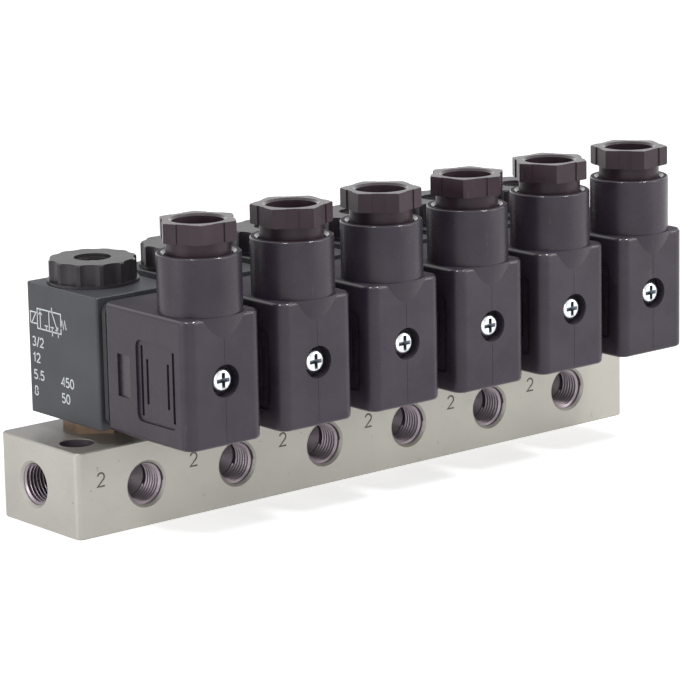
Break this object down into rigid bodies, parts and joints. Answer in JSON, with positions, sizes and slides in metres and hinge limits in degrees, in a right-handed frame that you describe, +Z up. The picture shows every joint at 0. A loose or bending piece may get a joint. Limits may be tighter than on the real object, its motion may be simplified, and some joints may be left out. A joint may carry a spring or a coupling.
{
  "type": "pneumatic solenoid valve manifold",
  "caption": "Row of normally closed 3/2 solenoid valves with black plug connectors on a drilled aluminium manifold bar with threaded ports in its front and ends.",
  "frame": {"origin": "centre of the manifold's bottom face", "axes": "+X along the manifold, -Y out of the outlet ports and towards the connectors, +Z up along the valve axes"},
  "size_m": [0.168, 0.0615, 0.0737],
  "materials": {
    "manifold_aluminium": "satin machined",
    "brass": "turned",
    "stainless_steel": "turned",
    "seal_rubber": "moulded",
    "spring_steel": "drawn wire",
    "coil_plastic": "moulded, fine satin",
    "nut_plastic": "moulded, fine satin",
    "connector_plastic": "moulded, fine satin",
    "gland_plastic": "moulded, fine satin",
    "yoke_steel": "zinc plated",
    "copper_wire": "enamelled",
    "tinned_brass": "tinned",
    "gasket_rubber": "moulded",
    "insert_plastic": "moulded",
    "zinc_plated_steel": "bright zinc"
  },
  "bodies": {
    "valve_bank": {"manifold_block": "manifold_aluminium", "armature_tube_1": "brass", "plunger_spring_1": "spring_steel", "coil_1": "coil_plastic", "coil_nut_1": "nut_plastic", "connector_housing_1": "connector_plastic", "armature_tube_2": "brass", "plunger_spring_2": "spring_steel", "coil_2": "coil_plastic", "coil_nut_2": "nut_plastic", "connector_housing_2": "connector_plastic", "armature_tube_3": "brass", "plunger_spring_3": "spring_steel", "coil_3": "coil_plastic", "coil_nut_3": "nut_plastic", "connector_housing_3": "connector_plastic", "armature_tube_4": "brass", "plunger_spring_4": "spring_steel", "coil_4": "coil_plastic", "coil_nut_4": "nut_plastic", "connector_housing_4": "connector_plastic", "armature_tube_5": "brass", "plunger_spring_5": "spring_steel", "coil_5": "coil_plastic", "coil_nut_5": "nut_plastic", "connector_housing_5": "connector_plastic", "armature_tube_6": "brass", "plunger_spring_6": "spring_steel", "coil_6": "coil_plastic", "coil_nut_6": "nut_plastic", "connector_housing_6": "connector_plastic", "pole_pieces": "stainless_steel", "base_o_rings": "seal_rubber", "coil_yokes": "yoke_steel", "coil_windings": "copper_wire", "coil_blades": "tinned_brass", "connector_gaskets": "gasket_rubber", "terminal_inserts": "insert_plastic", "terminal_contacts": "tinned_brass", "connector_screws": "zinc_plated_steel", "cable_grommets": "gasket_rubber", "gland_rings": "insert_plastic"},
    "plunger_group_1": {"plunger_1": "stainless_steel", "plunger_seal_1": "seal_rubber"},
    "gland_nut_body_1": {"gland_nut_1": "gland_plastic"},
    "plunger_group_2": {"plunger_2": "stainless_steel", "plunger_seal_2": "seal_rubber"},
    "gland_nut_body_2": {"gland_nut_2": "gland_plastic"},
    "plunger_group_3": {"plunger_3": "stainless_steel", "plunger_seal_3": "seal_rubber"},
    "gland_nut_body_3": {"gland_nut_3": "gland_plastic"},
    "plunger_group_4": {"plunger_4": "stainless_steel", "plunger_seal_4": "seal_rubber"},
    "gland_nut_body_4": {"gland_nut_4": "gland_plastic"},
    "plunger_group_5": {"plunger_5": "stainless_steel", "plunger_seal_5": "seal_rubber"},
    "gland_nut_body_5": {"gland_nut_5": "gland_plastic"},
    "plunger_group_6": {"plunger_6": "stainless_steel", "plunger_seal_6": "seal_rubber"},
    "gland_nut_body_6": {"gland_nut_6": "gland_plastic"}
  },
  "joints": [
    {"name": "plunger_slide_1", "type": "slide", "parent": "valve_bank", "child": "plunger_group_1", "axis": [0, 0, 1], "range_m": [0, 0.0012], "stiffness_N_per_m": 500, "deforming": ["plunger_spring_1"]},
    {"name": "plunger_slide_2", "type": "slide", "parent": "valve_bank", "child": "plunger_group_2", "axis": [0, 0, 1], "range_m": [0, 0.0012], "stiffness_N_per_m": 500, "deforming": ["plunger_spring_2"]},
    {"name": "plunger_slide_3", "type": "slide", "parent": "valve_bank", "child": "plunger_group_3", "axis": [0, 0, 1], "range_m": [0, 0.0012], "stiffness_N_per_m": 500, "deforming": ["plunger_spring_3"]},
    {"name": "plunger_slide_4", "type": "slide", "parent": "valve_bank", "child": "plunger_group_4", "axis": [0, 0, 1], "range_m": [0, 0.0012], "stiffness_N_per_m": 500, "deforming": ["plunger_spring_4"]},
    {"name": "plunger_slide_5", "type": "slide", "parent": "valve_bank", "child": "plunger_group_5", "axis": [0, 0, 1], "range_m": [0, 0.0012], "stiffness_N_per_m": 500, "deforming": ["plunger_spring_5"]},
    {"name": "plunger_slide_6", "type": "slide", "parent": "valve_bank", "child": "plunger_group_6", "axis": [0, 0, 1], "range_m": [0, 0.0012], "stiffness_N_per_m": 500, "deforming": ["plunger_spring_6"]},
    {"name": "gland_nut_turn_1", "type": "hinge", "parent": "valve_bank", "child": "gland_nut_body_1", "pos_m": [-0.065, -0.037, 0.0664], "axis": [0, 0, 1], "continuous": true},
    {"name": "gland_nut_turn_2", "type": "hinge", "parent": "valve_bank", "child": "gland_nut_body_2", "pos_m": [-0.039, -0.037, 0.0664], "axis": [0, 0, 1], "continuous": true},
    {"name": "gland_nut_turn_3", "type": "hinge", "parent": "valve_bank", "child": "gland_nut_body_3", "pos_m": [-0.013, -0.037, 0.0664], "axis": [0, 0, 1], "continuous": true},
    {"name": "gland_nut_turn_4", "type": "hinge", "parent": "valve_bank", "child": "gland_nut_body_4", "pos_m": [0.013, -0.037, 0.0664], "axis": [0, 0, 1], "continuous": true},
    {"name": "gland_nut_turn_5", "type": "hinge", "parent": "valve_bank", "child": "gland_nut_body_5", "pos_m": [0.039, -0.037, 0.0664], "axis": [0, 0, 1], "continuous": true},
    {"name": "gland_nut_turn_6", "type": "hinge", "parent": "valve_bank", "child": "gland_nut_body_6", "pos_m": [0.065, -0.037, 0.0664], "axis": [0, 0, 1], "continuous": true}
  ]
}
